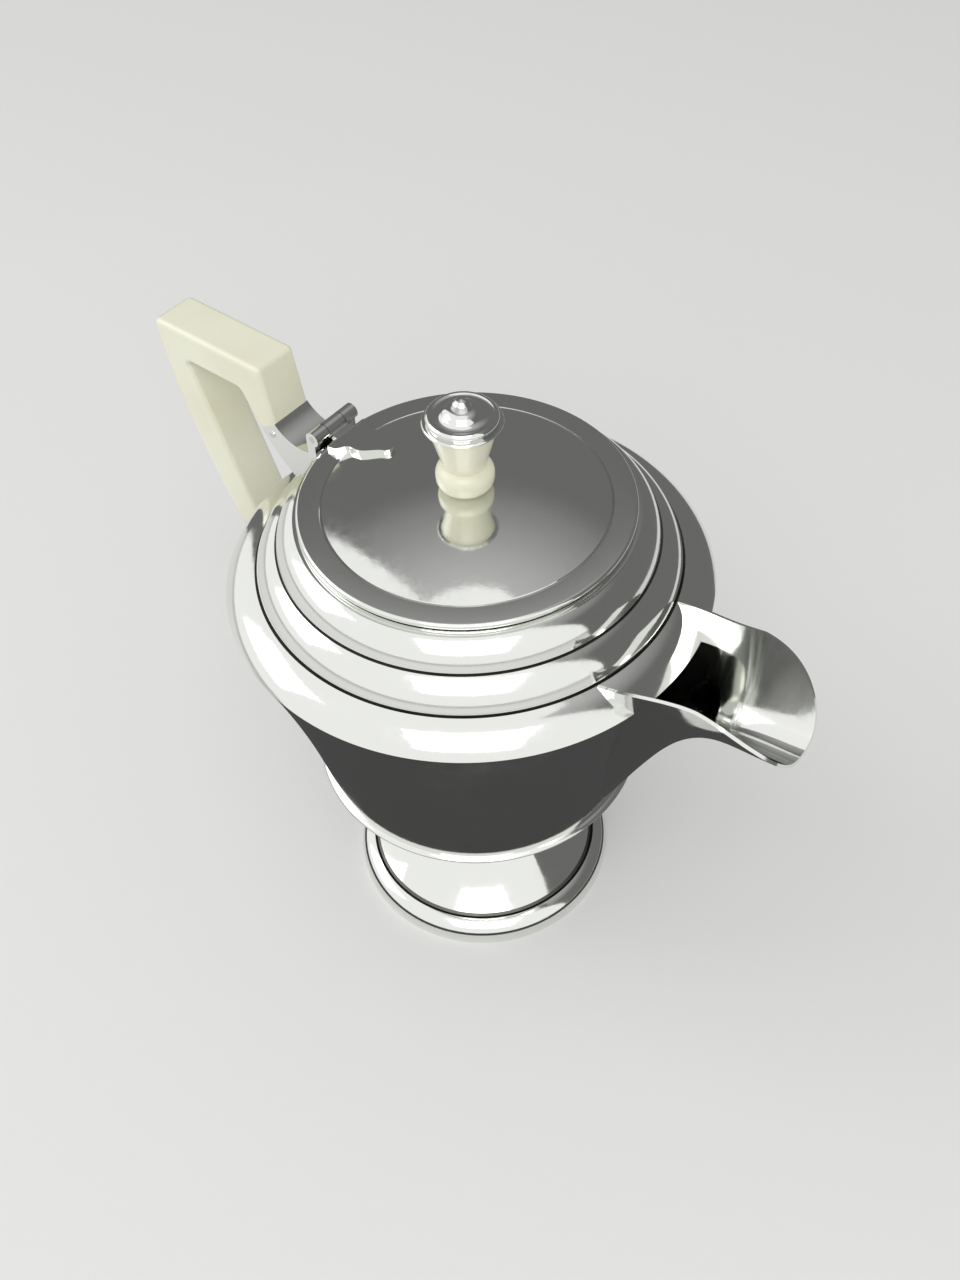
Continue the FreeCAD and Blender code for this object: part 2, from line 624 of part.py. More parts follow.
def handle_grip():
    """Handle with rounded corners and edges and a tenon at each end."""
    solid = slab(handle_outline(), HANDLE_WIDTH)
    ends = (handle_leg_end(), handle_foot_end())
    end_corners = [corner for end in ends for corner in end]
    corners = [edge for edge in solid.Edges if edge.BoundBox.YLength > HANDLE_WIDTH / 2]
    corners = [edge for edge in corners if not lies_near(edge, end_corners)]
    solid = solid.makeFillet(HANDLE_CORNER, corners)
    end_middles = [(first + second) * 0.5 for first, second in ends]
    sides = [face for face in solid.Faces if face.BoundBox.YLength < HANDLE_EDGE]
    long_edges = [edge for face in sides for edge in face.Edges if not lies_near(edge, end_middles)]
    solid = solid.makeFillet(HANDLE_EDGE, long_edges)
    for end in ends:
        solid = solid.fuse(tenon(end, 0)).cut(handle_pin(end, SLIP_CLEARANCE, HANDLE_WIDTH))
    return solid


def handle_upper_socket(envelope):
    """Arm from the shoulder, hollow on top, that holds the front leg."""
    front, back = handle_leg_end()
    top = at(HINGE_X - KNUCKLE_RADIUS, front.z - UPPER_ARM_FALL)
    root = at(-LOW_GROOVE_RADIUS, LOW_GROOVE_Z)
    root_in = at(top.x, root.z)
    edges = [bow(front, top, -SOCKET_DIP)] + chain([top, root_in, root])
    edges += [bow(root, back, UPPER_ARM_BELLY), line(back, front)]
    return pinned_socket(slab(edges, SOCKET_WIDTH).cut(envelope), (front, back))


def handle_lower_socket(envelope):
    """Straight arm from the wall that holds the grip's lower end."""
    upper, lower = handle_foot_end()
    root_upper = at(-WAIST_RADIUS, upper.z)
    root_lower = at(-WAIST_RADIUS, lower.z)
    arm = slab(chain([upper, root_upper, root_lower, lower]), SOCKET_WIDTH).cut(envelope)
    return pinned_socket(arm, (upper, lower))


def pinned_socket(arm, ends):
    """Arm with the tenon's pocket and the pin's hole."""
    return arm.cut(tenon(ends, SLIP_CLEARANCE)).cut(handle_pin(ends, SLIP_CLEARANCE, HANDLE_WIDTH))


def socket_pin(ends):
    """Cross pin that stands a little proud of the socket on both sides."""
    return handle_pin(ends, 0, SOCKET_WIDTH + 2 * HANDLE_PIN_PROUD)


def keel():
    """Line of the spout's underside, from the waist up and out to the lip and a little past it."""
    points = [
        at(WAIST_RADIUS - SHEET, WAIST_Z),
        at(KEEL_MIDDLE_REACH, EDGE_Z - KEEL_MIDDLE_DROP),
        at(LIP_START_REACH, EDGE_Z - LIP_START_DROP),
        at(SPOUT_REACH, EDGE_Z - LIP_FLOOR_DROP),
    ]
    past = points[-1] + (points[-1] - points[-2]).normalize() * SPOUT_OVERRUN
    path = Part.BSplineCurve()
    path.interpolate(points + [past])
    return path


def crest_height(x):
    """Height of the spout's upper edge: a straight rise from the low groove, then level."""
    start = LOW_GROOVE_RADIUS - SPOUT_ROOT_INSET
    share = min(1, (x - start) / (SPOUT_CREST_REACH - start))
    return LOW_GROOVE_Z + (EDGE_Z + SPOUT_CREST_RISE - LOW_GROOVE_Z) * share


def spout_section(low, inset, lift):
    """Upright parabola through the lowest point, as wide as the spout is there, closed across its top."""
    gone = (low.x - LOW_GROOVE_RADIUS) / (SPOUT_REACH - LOW_GROOVE_RADIUS)
    crest = crest_height(low.x)
    high = crest + lift
    widening = math.sqrt((high - low.z) / (crest - low.z))
    half = (SPOUT_HALF_WIDTH - SPOUT_NARROWING * gone - inset) * widening
    near = FreeCAD.Vector(low.x, -half, high)
    far = FreeCAD.Vector(low.x, half, high)
    parabola = Part.BezierCurve()
    parabola.setPoles([near, at(low.x, 2 * low.z - high), far])
    return Part.Wire([parabola.toShape(), line(far, near)])


def trough(inset, lift):
    """Solid filling of the open spout: sections that follow the keel, set in and raised."""
    path = keel()
    first = path.FirstParameter
    step = (path.LastParameter - first) / (KEEL_STATIONS - 1)
    sections = []
    for number in range(KEEL_STATIONS):
        place = first + step * number
        along = path.tangent(place)[0]
        low = path.value(place) + FreeCAD.Vector(-along.z, 0, along.x) * inset
        sections.append(spout_section(low, inset, lift))
    return Part.makeLoft(sections, True)


def spout_plan():
    """Upright block whose outline is the lip seen from above, with a broad rounded nose."""
    start = LOW_GROOVE_RADIUS - SPOUT_ROOT_INSET
    length = SPOUT_REACH - start
    points = []
    for number in range(-SPOUT_NOSE_STATIONS, SPOUT_NOSE_STATIONS + 1):
        angle = math.pi / 2 * number / SPOUT_NOSE_STATIONS
        x = start + length * abs(math.cos(angle)) ** (2 / SPOUT_NOSE_POWER)
        y = math.copysign(SPOUT_HALF_WIDTH * abs(math.sin(angle)) ** (2 / SPOUT_NOSE_POWER), number)
        points.append(FreeCAD.Vector(x, y, WAIST_Z - SPOUT_OVERRUN))
    nose = Part.BSplineCurve()
    nose.interpolate(points)
    back = [FreeCAD.Vector(0, end.y, end.z) for end in (points[-1], points[0])]
    sides = chain([points[-1]] + back + [points[0]])
    return Part.Face(Part.Wire([nose.toShape()] + sides)).extrude(UP * (MOUTH_Z - WAIST_Z + SPOUT_OVERRUN))


def spout(envelope):
    """Open beak of thin sheet, trimmed to the lip's outline and seated on the pot's outside."""
    shell = trough(0, 0).cut(trough(SPOUT_SHEET, SPOUT_OVERRUN))
    return shell.common(spout_plan()).cut(envelope)


def build():
    envelope = pot_envelope()
    collar = foot_collar()
    lid = lid_cover()
    return {
        "foot_collar": collar,
        "foot_band": foot_band(collar),
        "body_bowl": body_bowl(),
        "waist_ring": waist_ring(envelope),
        "body_wall": body_wall(),
        "shoulder_collar": shoulder_collar(),
        "mouth_ring": mouth_ring(),
        "spout": spout(envelope),
        "handle_grip": handle_grip(),
        "handle_upper_socket": handle_upper_socket(envelope),
        "handle_lower_socket": handle_lower_socket(envelope),
        "handle_upper_pin": socket_pin(handle_leg_end()),
        "handle_lower_pin": socket_pin(handle_foot_end()),
        "hinge_lug": hinge_lug(envelope),
        "hinge_pin": hinge_pin(),
        "hinge_leaf": hinge_leaf(),
        "lid_cover": lid,
        "lid_bezel": lid_bezel(),
        "finial_stem": finial_stem(lid),
        "finial_cap": finial_cap(),
        "finial_bolt": finial_bolt(),
        "finial_washer": finial_washer(lid),
        "finial_nut": finial_nut(),
    }


os.makedirs("parts", exist_ok=True)
for name, shape in build().items():
    shape.exportStep("parts/" + name + ".step")
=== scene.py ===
"""Silver coffee pot: finishes, smooth turned surfaces, studio and the photograph's camera."""

import logging
import math
from dataclasses import dataclass, field
from enum import Enum, IntEnum
from typing import Callable

import bmesh
import bpy
import numpy as np
from mathutils import Matrix, Vector


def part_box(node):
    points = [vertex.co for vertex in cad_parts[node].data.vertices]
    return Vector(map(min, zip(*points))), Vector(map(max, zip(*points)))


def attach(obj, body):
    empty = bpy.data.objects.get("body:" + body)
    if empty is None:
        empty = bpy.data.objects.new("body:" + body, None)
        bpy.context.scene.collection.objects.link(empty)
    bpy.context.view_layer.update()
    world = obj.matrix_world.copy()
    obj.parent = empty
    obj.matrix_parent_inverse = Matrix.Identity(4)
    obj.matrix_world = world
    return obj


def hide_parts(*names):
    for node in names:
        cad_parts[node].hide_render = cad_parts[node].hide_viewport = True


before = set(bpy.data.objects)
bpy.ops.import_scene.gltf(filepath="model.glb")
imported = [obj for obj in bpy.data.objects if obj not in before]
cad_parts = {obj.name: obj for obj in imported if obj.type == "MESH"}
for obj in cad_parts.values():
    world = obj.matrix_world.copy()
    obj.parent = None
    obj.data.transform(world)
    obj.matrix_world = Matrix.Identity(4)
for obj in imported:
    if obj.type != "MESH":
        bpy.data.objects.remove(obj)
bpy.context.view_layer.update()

Point = tuple[float, float]
Spot = tuple[float, float, float]
Thing = bpy.types.Object
Material = bpy.types.Material
Tree = bpy.types.NodeTree
Socket = bpy.types.NodeSocket
Inputs = dict[str | int, object]
Rows = list[list[Vector]]

LOG = logging.getLogger("coffee_pot")
MM = 0.001
BUMP_STRENGTH = 0.35

# Facets of a full turn, and the angle in degrees over which a turned edge stays sharp.
SEGMENTS = 240
TURNED_CREASE = 24.0

# Sizes that more than one piece follows, in millimetres. A band is given by its width and its rise.
NECK_RADIUS = 19.0
SHEET = 1.2
GROOVE_WIDTH = 0.8
GROOVE_DEPTH = 0.6
WALL_BOW = 1.7
BAND_BOW = 1.1
LOW_BAND: Point = (9.0, 6.6)
MIDDLE_BAND: Point = (6.4, 8.2)
BOLT_HOLE = 1.52


class Slot(Enum):
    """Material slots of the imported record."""

    SILVER = "silver"
    IVORY = "ivory"


class Body(Enum):
    """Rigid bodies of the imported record."""

    POT = "pot"
    LID = "lid"


class Cut(Enum):
    """What a cutting solid does to a piece."""

    AWAY = "DIFFERENCE"
    KEEP = "INTERSECT"


class Fade(Enum):
    """Where the cloth of a flag thins out."""

    ROUND = "edge"
    TOP = "top"


class Face(IntEnum):
    """Place of a stretch's finish among the materials of its piece."""

    OUTSIDE = 0
    SECOND = 1
    THIRD = 2


@dataclass(frozen=True)
class MetalFinish:
    """Polished silver, or dark silver that paints the shade in grooves.

    Attributes:
        name: Material name.
        colour: Linear base colour.
        low_roughness: Roughness where the metal is freshly wiped.
        high_roughness: Roughness in the wiping marks.
        mark_scale: Wiping marks per metre.
        bump: Depth of the hammering that is left under the polish, in metres.
    """

    name: str
    colour: Spot
    low_roughness: float
    high_roughness: float
    mark_scale: float
    bump: float


@dataclass(frozen=True)
class IvoryFinish:
    """Cream-coloured resin with cloudy tone changes.

    Attributes:
        name: Material name.
        light: Linear colour of the lighter clouds.
        deep: Linear colour of the deeper clouds.
        roughness: Surface roughness.
        cloud_scale: Clouds per metre.
        coat: Weight of the polish on top.
        coat_roughness: Roughness of that polish.
        bump: Depth of the grain in metres.
    """

    name: str
    light: Spot
    deep: Spot
    roughness: float
    cloud_scale: float
    coat: float
    coat_roughness: float
    bump: float


POLISHED = MetalFinish("polished silver", (0.82, 0.83, 0.80), 0.05, 0.17, 55.0, 0.00012)
INSIDE = MetalFinish("inside silver", (0.62, 0.60, 0.55), 0.18, 0.42, 40.0, 0.0003)
# Painted shade: a dark silver put on the grooves' walls and the flare's lower edge to stand for the
# shade in the grooves.
GROOVE_SHADE = MetalFinish("tarnished groove", (0.13, 0.13, 0.12), 0.35, 0.60, 90.0, 0.0003)
PIN_STEEL = MetalFinish("pin metal", (0.66, 0.66, 0.64), 0.16, 0.32, 300.0, 0.0001)
IVORY = IvoryFinish(
    "ivory resin", (0.86, 0.86, 0.71), (0.79, 0.77, 0.57), 0.24, 26.0, 0.25, 0.12, 0.00005)


def feed(node: bpy.types.Node, inputs: Inputs) -> None:
    """Links or sets the inputs of a shader node.

    Args:
        node: The node.
        inputs: For each input, the output that it is linked to or else its value.
    """
    for name, given in inputs.items():
        if isinstance(given, Socket):
            node.id_data.links.new(given, node.inputs[name])
        else:
            node.inputs[name].default_value = given


def add_node(tree: Tree, kind: str, inputs: Inputs | None = None, **settings: object) -> bpy.types.Node:
    """Adds a shader node.

    Args:
        tree: Tree that takes it.
        kind: Name of the node's type, without its first word.
        inputs: Its inputs, as for feed.
        settings: Its settings by name.

    Returns:
        The node.
    """
    node = tree.nodes.new("ShaderNode" + kind)
    for name, value in settings.items():
        setattr(node, name, value)
    feed(node, inputs or {})
    return node


def new_material(name: str) -> Material:
    """Starts a material with one plain surface shader.

    Args:
        name: Material name.

    Returns:
        The material.
    """
    material = bpy.data.materials.new(name)
    material.use_nodes = True
    return material


def link_object(name: str, data: bpy.types.ID) -> Thing:
    """Makes an object and links it to the scene.

    Args:
        name: Object name.
        data: Its mesh, light or camera.

    Returns:
        The object.
    """
    made = bpy.data.objects.new(name, data)
    bpy.context.scene.collection.objects.link(made)
    return made


def stage_piece(name: str, spots: list[Spot], faces: list[tuple[int, ...]]) -> Thing:
    """Makes a piece of the stage.

    Args:
        name: Object name.
        spots: Its points in metres.
        faces: Point numbers of each face.

    Returns:
        The object, linked to the scene.
    """
    mesh = bpy.data.meshes.new(name)
    mesh.from_pydata(spots, [], faces)
    piece = link_object(name, mesh)
    return piece


def smooth(mesh: bpy.types.Mesh, crease: float) -> None:
    """Shades a mesh smooth, except over its creases.

    Args:
        mesh: The mesh.
        crease: Angle in degrees over which an edge stays sharp.
    """
    for polygon in mesh.polygons:
        polygon.use_smooth = True
    mesh.set_sharp_from_angle(angle=math.radians(crease))


def shape_object(shape: bmesh.types.BMesh, name: str, crease: float | None = None) -> Thing:
    """Turns a finished shape into an object.

    Args:
        shape: The shape, which is used up.
        name: Name of the new object.
        crease: Angle in degrees over which an edge stays sharp, or None for flat faces.

    Returns:
        The object, linked to the scene.
    """
    bmesh.ops.recalc_face_normals(shape, faces=shape.faces)
    mesh = bpy.data.meshes.new(name)
    shape.to_mesh(mesh)
    shape.free()
    if crease is not None:
        smooth(mesh, crease)
    return link_object(name, mesh)


def prism(name: str, rows: list[list[Spot]]) -> Thing:
    """Straight solid between two equal outlines.

    Args:
        name: Object name.
        rows: Both outlines in millimetres.

    Returns:
        The object, linked to the scene.
    """
    shape = bmesh.new()
    low, high = ([shape.verts.new(Vector(spot) * MM) for spot in row] for row in rows)
    shape.faces.new(low)
    shape.faces.new(high)
    for number in range(len(low)):
        after = (number + 1) % len(low)
        shape.faces.new([low[number], low[after], high[after], high[number]])
    return shape_object(shape, name)


def trim(piece: Thing, tool: Thing, cut: Cut) -> None:
    """Cuts a piece with a second solid, which is then removed.

    Args:
        piece: The piece to cut.
        tool: The second solid.
        cut: What the second solid does to the piece.
    """
    modifier = piece.modifiers.new("cut", "BOOLEAN")
    modifier.operation = cut.value
    modifier.object = tool
    bpy.context.view_layer.update()
    graph = bpy.context.evaluated_depsgraph_get()
    mesh = bpy.data.meshes.new_from_object(piece.evaluated_get(graph))
    piece.modifiers.clear()
    piece.data = mesh
    bpy.data.objects.remove(tool)


def extent(node: str) -> tuple[Vector, Vector]:
    """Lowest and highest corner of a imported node.

    Args:
        node: Node name.

    Returns:
        Both corners in millimetres.
    """
    low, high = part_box(node)
    return Vector(low) / MM, Vector(high) / MM


class EffectGroups:
    """Shared shader node groups, made once and used by every material."""

    @staticmethod
    def _group(name: str, outputs: tuple[str, ...], inputs: dict[str, float]) -> Tree:
        """Makes an empty node group with its sockets.

        Args:
            name: Group name.
            outputs: Names of its float outputs.
            inputs: Names of its float inputs with their defaults.

        Returns:
            The node tree, with one input and one output node.
        """
        tree = bpy.data.node_groups.new(name, "ShaderNodeTree")
        for label, default in inputs.items():
            socket = tree.interface.new_socket(name=label, in_out="INPUT", socket_type="NodeSocketFloat")
            socket.default_value = default
        for label in outputs:
            tree.interface.new_socket(name=label, in_out="OUTPUT", socket_type="NodeSocketFloat")
        tree.nodes.new("NodeGroupInput").name = "in"
        tree.nodes.new("NodeGroupOutput").name = "out"
        return tree

    @classmethod
    def wiping(cls) -> Tree:
        """Wiping marks of a polishing cloth: a roughness and a height that vary over the surface.

        Returns:
            The node group.
        """
        name = "wiping marks"
        if name in bpy.data.node_groups:
            return bpy.data.node_groups[name]
        tree = cls._group(name, ("Roughness", "Height"), {"Low": 0.05, "High": 0.15, "Scale": 60.0})
        given = tree.nodes["in"].outputs
        place = add_node(tree, "TexCoord").outputs["Object"]
        cloth = {"Vector": place, "Scale": given["Scale"], "Detail": 6.0, "Roughness": 0.62}
        smudge = add_node(tree, "TexNoise", cloth).outputs["Fac"]
        turn = {"Vector": place, "Scale": (6.0, 6.0, 0.6), "Rotation": (0.5, 0.3, 0.2)}
        stretch = add_node(tree, "Mapping", turn).outputs["Vector"]
        line = {"Vector": stretch, "Scale": given["Scale"], "Detail": 9.0, "Roughness": 0.75}
        scratch = add_node(tree, "TexNoise", line).outputs["Fac"]
        blend = add_node(tree, "Math", {0: smudge, 1: scratch}, operation="MULTIPLY").outputs["Value"]
        limits = {"From Min": 0.16, "From Max": 0.42, "To Min": given["Low"], "To Max": given["High"]}
        spread = add_node(tree, "MapRange", {"Value": blend, **limits}).outputs["Result"]
        feed(tree.nodes["out"], {"Roughness": spread, "Height": smudge})
        return tree

    @classmethod
    def clouds(cls) -> Tree:
        """Clouds of cast resin: a share of the deeper colour and a height that vary over the surface.

        Returns:
            The node group.
        """
        name = "resin clouds"
        if name in bpy.data.node_groups:
            return bpy.data.node_groups[name]
        tree = cls._group(name, ("Share", "Height"), {"Scale": 26.0})
        scale = tree.nodes["in"].outputs["Scale"]
        place = add_node(tree, "TexCoord").outputs["Object"]
        soft = {"Vector": place, "Scale": scale, "Detail": 4.0}
        cloud = add_node(tree, "TexNoise", soft).outputs["Fac"]
        grain = add_node(tree, "TexNoise", {"Vector": place, "Scale": 700.0}).outputs["Fac"]
        limits = {"From Min": 0.36, "From Max": 0.72}
        spread = add_node(tree, "MapRange", {"Value": cloud, **limits}).outputs["Result"]
        feed(tree.nodes["out"], {"Share": spread, "Height": grain})
        return tree


@dataclass
class Finishes:
    """Makes each material once.

    Attributes:
        made: Materials so far, by name.
    """

    made: dict[str, Material] = field(default_factory=dict)

    def _surface(
        self, finish: MetalFinish | IvoryFinish, material: Material, height: Socket, inputs: Inputs
    ) -> Material:
        """Completes a material.

        Args:
            finish: Its finish.
            material: The material.
            height: Output that gives its relief.
            inputs: Inputs of its surface shader.

        Returns:
            The material.
        """
        tree = material.node_tree
        relief = {"Strength": BUMP_STRENGTH, "Distance": finish.bump, "Height": height}
        normal = add_node(tree, "Bump", relief).outputs["Normal"]
        feed(tree.nodes["Principled BSDF"], {**inputs, "Normal": normal})
        self.made[finish.name] = material
        return material

    def metal(self, finish: MetalFinish) -> Material:
        """Metal with wiping marks.

        Args:
            finish: The finish to make.

        Returns:
            The material.
        """
        if finish.name in self.made:
            return self.made[finish.name]
        material = new_material(finish.name)
        marks = add_node(material.node_tree, "Group", {
            "Low": finish.low_roughness,
            "High": finish.high_roughness,
            "Scale": finish.mark_scale,
        }, node_tree=EffectGroups.wiping()).outputs
        return self._surface(finish, material, marks["Height"], {
            "Base Color": (*finish.colour, 1.0),
            "Metallic": 1.0,
            "Roughness": marks["Roughness"],
        })

    def ivory(self, finish: IvoryFinish) -> Material:
        """Cloudy cream resin.

        Args:
            finish: The finish to make.

        Returns:
            The material.
        """
        if finish.name in self.made:
            return self.made[finish.name]
        material = new_material(finish.name)
        tree = material.node_tree
        scale = {"Scale": finish.cloud_scale}
        clouds = add_node(tree, "Group", scale, node_tree=EffectGroups.clouds()).outputs
        tones = {"A": (*finish.light, 1.0), "B": (*finish.deep, 1.0), "Factor": clouds["Share"]}
        mixed = add_node(tree, "Mix", tones, data_type="RGBA").outputs
        return self._surface(finish, material, clouds["Height"], {
            "Base Color": next(out for out in mixed if out.type == "RGBA"),
            "Roughness": finish.roughness,
            "Coat Weight": finish.coat,
            "Coat Roughness": finish.coat_roughness,
        })


class Profile:
    """Outline of a turned piece in the half plane of radius and height, in millimetres."""

    def __init__(self, radius: float, height: float) -> None:
        """Starts the outline at a point."""
        self.points: list[Point] = [(radius, height)]
        self.faces: list[Face] = []

    def to(self, radius: float, height: float, face: Face = Face.OUTSIDE) -> "Profile":
        """Adds a straight stretch.

        Args:
            radius: Radius at its end.
            height: Height at its end.
            face: Finish of the stretch.

        Returns:
            This profile.
        """
        self.points.append((radius, height))
        self.faces.append(face)
        return self

    def bend(
        self, radius: float, height: float, rise: float, face: Face = Face.OUTSIDE, steps: int = 14
    ) -> "Profile":
        """Adds a shallow curve.

        Args:
            radius: Radius at its end.
            height: Height at its end.
            rise: Distance of its middle from the chord, to the left of its way.
            face: Finish of the stretch.
            steps: Chords that make it up.

        Returns:
            This profile.
        """
        r0, z0 = self.points[-1]
        dr, dz = radius - r0, height - z0
        length = math.hypot(dr, dz)
        for number in range(1, steps + 1):
            share = number / steps
            off = 4 * rise * share * (1 - share) / length
            self.to(r0 + dr * share - dz * off, z0 + dz * share + dr * off, face)
        return self

    def lathe(self, name: str) -> Thing:
        """Turns the closed outline round the pot's axis.

        Args:
            name: Name of the new object.

        Returns:
            The object, linked to the scene.
        """
        shape = bmesh.new()
        angles = [2 * math.pi * number / SEGMENTS for number in range(SEGMENTS)]
        rings = []
        for radius, height in self.points:
            r, z = radius * MM, height * MM
            if r == 0:
                rings.append([shape.verts.new((0.0, 0.0, z))] * SEGMENTS)
            else:
                rings.append([shape.verts.new((r * math.cos(a), r * math.sin(a), z)) for a in angles])
        for index, face in enumerate(self.faces + [Face.OUTSIDE]):
            low, high = rings[index], rings[(index + 1) % len(rings)]
            for number in range(SEGMENTS):
                after = (number + 1) % SEGMENTS
                corners = dict.fromkeys((low[number], low[after], high[after], high[number]))
                if len(corners) >= 3:
                    shape.faces.new(list(corners)).material_index = face
        return shape_object(shape, name, TURNED_CREASE)


@dataclass
class SubAssembly:
    """Group of pieces on one body.

    Attributes:
        finishes: Material maker.
        body: Body that the pieces ride on.
        made: Names of the pieces that are done.
    """

    finishes: Finishes
    body: Body = Body.POT
    made: list[str] = field(default_factory=list)

    @property
    def silver(self) -> Material:
        """Polished silver of the outside."""
        return self.finishes.metal(POLISHED)

    @property
    def inside(self) -> Material:
        """Duller silver of the inside."""
        return self.finishes.metal(INSIDE)

    @property
    def groove_shade(self) -> Material:
        """Dark silver that paints the shade in the grooves."""
        return self.finishes.metal(GROOVE_SHADE)

    def build(self) -> None:
        """Makes the pieces, in each group's own way."""
        raise NotImplementedError

    def stand_in(self, piece: Thing, node: str, *materials: Material, slot: Slot = Slot.SILVER) -> None:
        """Dresses a new piece and puts it in a node's place.

        Args:
            piece: The new piece.
            node: Node that it stands for.
            materials: Materials by face index.
            slot: Record slot of its finish; not used.
        """
        for material in materials:
            piece.data.materials.append(material)
        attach(piece, self.body.value)
        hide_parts(node)
        self.made.append(piece.name)

    def turned(
        self, node: str, profile: Profile, *materials: Material, slot: Slot = Slot.SILVER
    ) -> Thing:
        """Puts a smooth turned piece in a node's place.

        Args:
            node: Node that it stands for.
            profile: Its outline.
            materials: Materials by the profile's face index.
            slot: Record slot of its finish.

        Returns:
            The new object.
        """
        piece = profile.lathe(node + "_turned")
        self.stand_in(piece, node, *materials, slot=slot)
        return piece

    def paint(self, material: Material, *nodes: str) -> None:
        """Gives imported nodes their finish.

        Args:
            material: The finish.
            nodes: Node names.
        """
        for node in nodes:
            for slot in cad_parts[node].material_slots:
                slot.material = material
            self.made.append(node)


@dataclass
class Foot(SubAssembly):
    """Flared foot and its moulding, all sizes in millimetres.

    The groove's radius and the crown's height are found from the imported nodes.
    """

    sheet: float = SHEET
    groove_width: float = GROOVE_WIDTH
    groove_depth: float = GROOVE_DEPTH
    neck: float = NECK_RADIUS
    neck_flange: float = 6.0
    flare_bow: float = 1.8
    flare_steps: int = 28
    moulding_bow: float = 1.5
    edge_height: float = 1.2
    land: float = 2.6
    groove: float = field(init=False)
    crown: float = field(init=False)

    def build(self) -> None:
        """Makes the flare and the moulding."""
        self.groove = extent("foot_collar")[1].x
        self.crown = extent("foot_band")[1].z
        self._flare()
        self._moulding()

    def _flare(self) -> None:
        """Hollow flare, with painted shade at its lower edge where it meets the moulding."""
        top = extent("foot_collar")[1].z
        flare = Profile(self.neck, top)
        flare.bend(self.groove, self.crown, -self.flare_bow, steps=self.flare_steps)
        # Painted shade: the flare's last chord takes the dark groove finish, as if shade fell into the
        # groove.
        flare.faces[-1] = Face.SECOND
        flare.to(self.groove, self.crown - self.sheet, Face.SECOND)
        flare.bend(self.neck - self.sheet, top - self.sheet, self.flare_bow)
        flange = self.neck - self.neck_flange
        flare.to(flange, top - self.sheet).to(flange, top)
        self.turned("foot_collar", flare, self.silver, self.groove_shade)

    def _moulding(self) -> None:
        """Rounded moulding that stands on the table."""
        low, high = extent("foot_band")
        groove, crown = self.groove, self.crown
        band = Profile(groove, crown - self.groove_depth)
        # Painted shade: the groove's wall takes the dark groove finish.
        band.to(groove + self.groove_width, crown, Face.SECOND)
        band.bend(high.x, self.edge_height, self.moulding_bow).to(high.x, low.z)
        band.to(high.x - self.land, low.z).to(groove - self.sheet, crown - 2 * self.sheet)
        band.to(groove - self.sheet, crown - self.sheet - self.groove_depth)
        self.turned("foot_band", band, self.silver, self.groove_shade)


